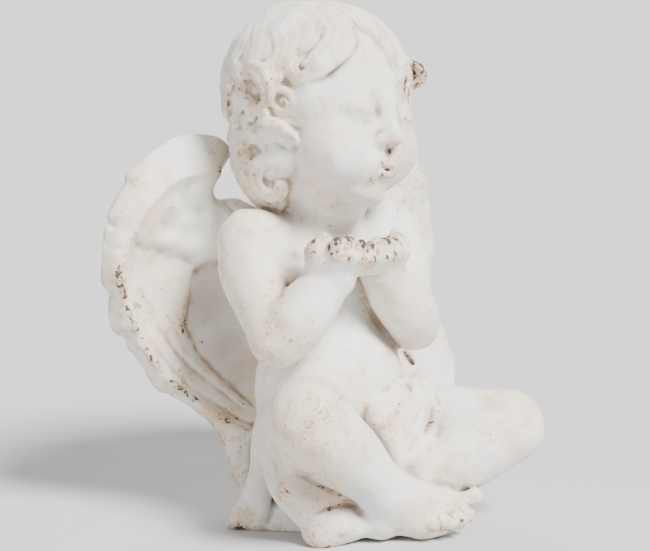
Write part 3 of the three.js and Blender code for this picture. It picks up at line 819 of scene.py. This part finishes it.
def skin_of(clay):
    """Vertices in millimetres and quads of the field's zero level, by naive surface nets."""
    field = clay.field
    size = np.array(field.shape) - 1
    inside = field < 0
    full = np.zeros(size, np.uint8)
    for i, j, k in CORNERS:
        full += inside[i : size[0] + i, j : size[1] + j, k : size[2] + k]
    cells = np.argwhere((full > 0) & (full < 8))
    number = np.full(size, -1, np.int32)
    number[tuple(cells.T)] = np.arange(len(cells))
    values = np.stack([field[tuple((cells + c).T)] for c in CORNERS], 1)
    total = np.zeros((len(cells), 3))
    count = np.zeros(len(cells))
    for a, b in EDGES:
        fa, fb = values[:, a], values[:, b]
        crossed = (fa < 0) != (fb < 0)
        t = np.where(crossed, fa / np.where(crossed, fa - fb, 1), 0)[:, None]
        total += np.where(crossed[:, None], CORNERS[a] + t * (CORNERS[b] - CORNERS[a]), 0)
        count += crossed
    points = clay.low + (cells + total / count[:, None]) * clay.step
    quads = []
    for axis in range(3):
        u, v = (axis + 1) % 3, (axis + 2) % 3
        first = [slice(1, -1)] * 3
        first[axis] = slice(0, -1)
        second = list(first)
        second[axis] = slice(1, None)
        a, b = inside[tuple(first)], inside[tuple(second)]
        for starts, flip in ((a & ~b, False), (b & ~a, True)):
            at = np.argwhere(starts)
            at[:, [u, v]] += 1
            around = []
            for du, dv in ((-1, -1), (0, -1), (0, 0), (-1, 0)):
                cell = at.copy()
                cell[:, u] += du
                cell[:, v] += dv
                around.append(number[tuple(cell.T)])
            quad = np.stack(around, 1)
            quads.append(quad[:, ::-1] if flip else quad)
    return points, np.concatenate(quads)


def mesh_from(name, points, quads):
    mesh = bpy.data.meshes.new(name)
    mesh.vertices.add(len(points))
    mesh.vertices.foreach_set("co", (points * MM).astype(np.float32).ravel())
    mesh.loops.add(quads.size)
    mesh.loops.foreach_set("vertex_index", quads.astype(np.int32).ravel())
    mesh.polygons.add(len(quads))
    mesh.polygons.foreach_set("loop_start", np.arange(0, quads.size, 4, dtype=np.int32))
    mesh.update(calc_edges=True)
    mesh.validate()
    return mesh


def thin_out(obj, most):
    """Collapses edges until the mesh has at most that many triangles."""
    count = sum(len(p.vertices) - 2 for p in obj.data.polygons)
    if count <= most:
        return
    decimate = obj.modifiers.new("thin", "DECIMATE")
    decimate.ratio = most / count
    evaluated = obj.evaluated_get(bpy.context.evaluated_depsgraph_get())
    thinned = bpy.data.meshes.new_from_object(evaluated)
    obj.modifiers.clear()
    obj.data = thinned


def blur(volume, reach):
    """A box blur over `reach` millimetres to each side, along each axis in turn."""
    cells = max(1, round(reach / STEP))
    for axis in range(3):
        edges = [(0, 0)] * 3
        edges[axis] = (cells + 1, cells)
        padded = np.pad(volume, edges, mode="edge")
        total = np.moveaxis(np.cumsum(padded, axis, dtype=np.float64), axis, 0)
        span = 2 * cells + 1
        volume = np.moveaxis((total[span:] - total[:-span]) / span, 0, axis).astype(np.float32)
    return volume


def sample_volume(volume, places):
    """Trilinear look-up at fractional indices."""
    places = np.clip(places, 0, np.array(volume.shape) - 1.001)
    base = places.astype(int)
    share = places - base
    total = np.zeros(len(places))
    for corner in CORNERS:
        weight = np.prod(np.where(corner, share, 1 - share), axis=1)
        total += weight * volume[tuple((base + corner).T)]
    return total


def record_wear_and_shade(mesh, clay):
    """Keeps, at each vertex, how shut in it is at three scales, how worn, and how much painted shade it
    gets.
    """
    places = np.empty(len(mesh.vertices) * 3, np.float32)
    mesh.vertices.foreach_get("co", places)
    places = places.reshape(-1, 3) / MM
    solid = np.clip(0.5 - clay.field / (2 * STEP), 0, 1).astype(np.float32)
    index = (places - clay.low) / STEP
    for name, reach in SHUT_IN.items():
        store(mesh, name, sample_volume(blur(blur(solid, reach), reach), index) - 0.5)
    # The worn places are real wear; the other places mark where shade is painted in.
    for name, spots in (("worn", WORN_PLACES), ("painted_shade", PAINTED_SHADE_PLACES)):
        amount = np.zeros(len(places))
        for x, y, z, reach, strength in spots:
            amount = np.maximum(amount, strength * np.exp(-(((places - (x, y, z)) / reach) ** 2).sum(1)))
        store(mesh, name, amount)


def store(mesh, name, values):
    layer = mesh.attributes.new(name, "FLOAT", "POINT")
    layer.data.foreach_set("value", values.astype(np.float32))


# How far around a vertex each measure of being shut in looks.
SHUT_IN = {"crease": 1.5, "hollow": 6, "cavity": 13}

# Where shade is painted in, in the hollows, under the chin and thigh and between the parts: place, reach
# and strength.
PAINTED_SHADE_PLACES = [
    (-46, 50, 122, 24, 1.0), (-38, 48, 100, 20, 1.0), (-30, 46, 85, 18, 0.9), (-52, 50, 140, 14, 0.7),
    (-42, 26, 212, 15, 0.7), (-36, 30, 200, 14, 0.9), (-45, -54, 36, 16, 0.8), (-30, -58, 32, 12, 0.8),
    (-60, -40, 52, 16, 0.4), (30, -30, 110, 14, 0.6), (70, 40, 150, 25, 0.5), (-5, -30, 192, 14, 0.5),
    (-50, -18, 30, 12, 0.8), (-40, 30, 60, 18, 0.5),
]

# Where the paint is rubbed and chipped most: place, reach and strength.
WORN_PLACES = [
    (-4, -51, 201, 8, 1.4), (2, -54, 206, 8, 1.0), (8, -51, 215, 7, 1.1), (-40, -20, 262, 12, 0.9),
    (-10, 0, 296, 30, 0.9), (22, -10, 290, 22, 1.0), (-46, 5, 245, 24, 0.9), (-42, 12, 212, 18, 1.0),
    (-38, 34, 206, 20, 1.1), (39, -33, 259, 13, 1.4), (26, -38, 248, 14, 1.0), (0, 60, 240, 40, 0.8),
    (-28, -56, 166, 9, 1.5), (-14, -61, 164, 10, 1.5), (0, -60, 165, 10, 1.5), (-39, -48, 165, 10, 0.9),
    (-62, -41, 119, 15, 1.1), (-48, -51, 118, 14, 1.0), (-50, -27, 140, 10, 1.2),
    (48, -40, 120, 18, 0.7), (-62, -80, 80, 20, 0.9), (-42, -84, 63, 18, 0.8), (-48, -77, 90, 9, 1.2),
    (90, -70, 60, 22, 0.6), (30, -80, 12, 18, 0.7), (-108, 40, 142, 13, 1.3), (-98, 44, 124, 15, 1.3),
    (-84, 46, 100, 15, 1.2), (-70, 46, 80, 17, 1.0), (-100, 40, 180, 26, 0.6), (-78, 49, 137, 8, 1.2),
    (-65, 49, 115, 10, 1.3), (-44, 44, 50, 22, 1.0), (108, 52, 200, 32, 1.2), (78, 50, 88, 22, 1.2),
    (-43, -53, 8, 11, 1.4), (-32, -58, 7, 9, 1.2), (-58, 1, 4, 10, 1.2), (-56, -46, 38, 11, 1.4),
    (-40, -53, 27, 15, 1.1), (12, -52, 70, 14, 0.9), (41, -50, 60, 10, 1.2), (0, 60, 40, 60, 0.6),
]


def add_object(name, data):
    added = bpy.data.objects.new(name, data)
    bpy.context.scene.collection.objects.link(added)
    return added


def make_figure():
    clay = sculpt()
    figure = add_object("cherub_skin", mesh_from("cherub_skin", *skin_of(clay)))
    thin_out(figure, MAX_TRIANGLES)
    figure.data.polygons.foreach_set("use_smooth", [True] * len(figure.data.polygons))
    record_wear_and_shade(figure.data, clay)
    return figure


figure = make_figure()

# Paint: matt white, yellowed in places, with painted shade in the hollows, dirt in the creases, rubbed
# edges, chips, pits and hair cracks

COOL_WHITE, CREAM = (0.82, 0.83, 0.79), (0.83, 0.71, 0.57)
RUBBED, SHADED = (0.66, 0.47, 0.32), (0.40, 0.345, 0.33)
DIRT, DARK = (0.30, 0.19, 0.10), (0.05, 0.038, 0.03)


class Shading:
    """Short hands for building a node tree."""

    def __init__(self, material):
        material.use_nodes = True
        self.tree = material.node_tree
        self.shader = self.tree.nodes["Principled BSDF"]
        self.place = self.tree.nodes.new("ShaderNodeTexCoord").outputs["Object"]

    def put(self, kind, settings, inputs):
        node = self.tree.nodes.new(kind)
        for key, value in settings.items():
            setattr(node, key, value)
        for key, value in inputs.items():
            if isinstance(value, bpy.types.NodeSocket):
                self.tree.links.new(value, node.inputs[key])
            else:
                node.inputs[key].default_value = value
        return node

    def value(self, name):
        return self.put("ShaderNodeAttribute", {"attribute_name": name}, {}).outputs["Fac"]

    def noise(self, scale, detail, rough=0.55):
        inputs = {"Vector": self.place, "Scale": scale, "Detail": detail, "Roughness": rough}
        return self.put("ShaderNodeTexNoise", {}, inputs).outputs["Fac"]

    def ramp(self, value, low, high):
        inputs = {"Value": value, "From Min": low, "From Max": high}
        settings = {"interpolation_type": "SMOOTHSTEP"}
        return self.put("ShaderNodeMapRange", settings, inputs).outputs["Result"]

    def maths(self, operation, a, b):
        return self.put("ShaderNodeMath", {"operation": operation}, {0: a, 1: b}).outputs[0]

    def times(self, a, b):
        return self.maths("MULTIPLY", a, b)

    def plus(self, a, b):
        return self.maths("ADD", a, b)

    def layer(self, share, under, over):
        colours = {6: under, 7: over}
        for key, colour in colours.items():
            colours[key] = (*colour, 1) if isinstance(colour, tuple) else colour
        return self.put("ShaderNodeMix", {"data_type": "RGBA"}, {0: share, **colours}).outputs[2]


def paint_figure(material):
    s = Shading(material)
    crease, hollow, cavity = s.value("crease"), s.value("hollow"), s.value("cavity")
    worn, painted_shade = s.value("worn"), s.value("painted_shade")
    patches, mottle, grit = s.noise(24, 5), s.noise(95, 6, 0.65), s.noise(420, 4, 0.7)
    flakes = s.noise(320, 5, 0.6)

    # Yellowing in patches, more on worn places.
    yellowed = s.plus(s.ramp(patches, 0.40, 0.64), s.times(worn, 0.6))
    colour = s.layer(s.times(yellowed, 0.8), COOL_WHITE, CREAM)
    mottled = s.times(s.ramp(mottle, 0.50, 0.66), s.ramp(patches, 0.38, 0.58))
    colour = s.layer(s.times(mottled, 0.45), colour, RUBBED)
    # Painted shade in the deep hollows and at the shade places, in a shaded grey-brown.
    shut_in = s.maths("MAXIMUM", s.ramp(hollow, 0.02, 0.22), s.ramp(cavity, 0.02, 0.24))
    colour = s.layer(s.times(s.maths("MAXIMUM", shut_in, painted_shade), 0.8), colour, SHADED)
    # Rubbed high places.
    bare = s.ramp(s.plus(mottle, s.times(worn, 0.25)), 0.46, 0.66)
    rubbed = s.times(s.ramp(crease, -0.02, -0.12), bare)
    colour = s.layer(s.times(rubbed, 0.75), colour, RUBBED)
    # Brown dirt in creases, broken up.
    caught = s.ramp(s.plus(mottle, s.times(worn, 0.28)), 0.34, 0.58)
    dirt = s.times(s.ramp(crease, 0.02, 0.11), caught)
    colour = s.layer(s.times(dirt, 0.75), colour, DIRT)
    # Stains and specks on the worn places.
    stain = s.times(s.ramp(worn, 0.2, 0.9), s.ramp(mottle, 0.47, 0.66))
    colour = s.layer(s.times(stain, 0.6), colour, RUBBED)
    gritty = s.ramp(s.plus(grit, s.times(worn, 0.1)), 0.62, 0.68)
    specks = s.times(gritty, s.ramp(mottle, 0.44, 0.56))
    colour = s.layer(s.times(specks, 0.7), colour, DIRT)
    # Chips on the edges and in the creases of worn places.
    sharp = s.maths("MAXIMUM", s.ramp(crease, -0.04, -0.12), s.ramp(crease, 0.04, 0.12))
    chips = s.ramp(s.plus(flakes, s.times(s.times(sharp, worn), 0.2)), 0.70, 0.73)
    colour = s.layer(s.times(chips, 0.95), colour, DARK)
    # Scattered pits, in a few of many cells.
    cells = s.put("ShaderNodeTexVoronoi", {}, {"Vector": s.place, "Scale": 120.0})
    chance = s.put("ShaderNodeSeparateColor", {}, {"Color": cells.outputs["Color"]}).outputs[0]
    pits = s.times(s.ramp(cells.outputs["Distance"], 0.085, 0.05), s.ramp(chance, 0.90, 0.905))
    colour = s.layer(s.times(pits, 0.85), colour, DARK)
    # Hair cracks, along the edges of larger cells that are bent out of shape.
    sway = s.put("ShaderNodeTexNoise", {}, {"Vector": s.place, "Scale": 60.0, "Detail": 3.0})
    bending = {0: sway.outputs["Color"], 1: (0.02, 0.02, 0.02), 2: s.place}
    bent = s.put("ShaderNodeVectorMath", {"operation": "MULTIPLY_ADD"}, bending).outputs[0]
    net = s.put("ShaderNodeTexVoronoi", {"feature": "DISTANCE_TO_EDGE"}, {"Vector": bent, "Scale": 24.0})
    cracked = s.ramp(s.noise(13, 2), 0.56, 0.64)
    cracks = s.times(s.ramp(net.outputs["Distance"], 0.007, 0.002), cracked)
    colour = s.layer(s.times(cracks, 0.5), colour, DIRT)
    s.tree.links.new(colour, s.shader.inputs["Base Color"])

    spread = {"From Min": 0.3, "From Max": 0.7, "To Min": 0.58, "To Max": 0.82}
    rough = s.put("ShaderNodeMapRange", {}, {"Value": mottle, **spread})
    s.tree.links.new(rough.outputs["Result"], s.shader.inputs["Roughness"])
    grain = s.plus(s.times(mottle, 0.6), s.times(grit, 0.25))
    sunk = s.plus(s.maths("MAXIMUM", chips, pits), s.times(cracks, 0.5))
    height = s.maths("SUBTRACT", grain, s.times(sunk, 0.5))
    bump = s.put("ShaderNodeBump", {}, {"Height": height, "Strength": 0.55, "Distance": 0.0012})
    s.tree.links.new(bump.outputs["Normal"], s.shader.inputs["Normal"])


paint = bpy.data.materials.new("antique_white")
paint_figure(paint)
figure.data.materials.append(paint)

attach(figure, "root")
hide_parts("cherub")

# Stage: floor, lights and camera

FLOOR_REACH = 6.0
FLOOR_TONE = (0.56, 0.56, 0.56, 1)
FLOOR_ROUGHNESS = 0.9
# Strength of the surroundings: as light on the figure, and as the camera sees them, to match the floor.
WORLD_LIGHT, WORLD_SEEN = 0.2, 1.58
# Broad, distant lamps: azimuth, elevation and spread in degrees, and strength.
LAMPS = {"key": (8, 44, 20, 9.0), "fill": (-75, 25, 60, 1.2), "back": (150, 35, 50, 2.4)}
VIEW_CENTRE = np.array([0, 0, 0.15])
VIEW_AZIMUTH, VIEW_ELEVATION, VIEW_DISTANCE = -35, 6, 0.9
SENSOR, FOCAL_LENGTH = 36, 86.4
IMAGE_WIDTH, IMAGE_SHIFT = 650, -13.5

floor_mesh = bpy.data.meshes.new("floor")
floor_corners = [(-1, -1, 0), (1, -1, 0), (1, 1, 0), (-1, 1, 0)]
floor_mesh.from_pydata([FLOOR_REACH * np.array(c) for c in floor_corners], [], [(0, 1, 2, 3)])
floor = add_object("floor", floor_mesh)
floor_paint = bpy.data.materials.new("floor")
floor_paint.use_nodes = True
floor_shader = floor_paint.node_tree.nodes["Principled BSDF"]
floor_shader.inputs["Base Color"].default_value = FLOOR_TONE
floor_shader.inputs["Roughness"].default_value = FLOOR_ROUGHNESS
floor_mesh.materials.append(floor_paint)

# The surroundings look as pale as the floor, and light the figure softly.
world = bpy.data.worlds.new("studio")
world.use_nodes = True
studio = world.node_tree
sky = studio.nodes["Background"]
sky.inputs["Color"].default_value = (1, 1, 1, 1)
seen = studio.nodes.new("ShaderNodeMapRange")
seen.inputs["To Min"].default_value = WORLD_LIGHT
seen.inputs["To Max"].default_value = WORLD_SEEN
path_kind = studio.nodes.new("ShaderNodeLightPath")
studio.links.new(path_kind.outputs["Is Camera Ray"], seen.inputs["Value"])
studio.links.new(seen.outputs["Result"], sky.inputs["Strength"])
bpy.context.scene.world = world


def looking_from(back):
    """The turn of a lamp or camera that looks along minus `back`, upright."""
    right = unit(np.cross((0, 0, 1), back))
    return Matrix(np.column_stack([right, np.cross(back, right), back]).tolist()).to_euler()


for name, (azimuth, elevation, spread, strength) in LAMPS.items():
    data = bpy.data.lights.new(name, "SUN")
    data.angle = math.radians(spread)
    data.energy = strength
    add_object(name, data).rotation_euler = looking_from(direction(azimuth, elevation))

lens = bpy.data.cameras.new("camera")
lens.sensor_width = SENSOR
lens.lens = FOCAL_LENGTH
lens.shift_y = IMAGE_SHIFT / IMAGE_WIDTH
lens.clip_start = 0.01
camera = add_object("camera", lens)
view_back = direction(VIEW_AZIMUTH, VIEW_ELEVATION)
camera.location = VIEW_CENTRE + view_back * VIEW_DISTANCE
camera.rotation_euler = looking_from(view_back)
bpy.context.scene.camera = camera
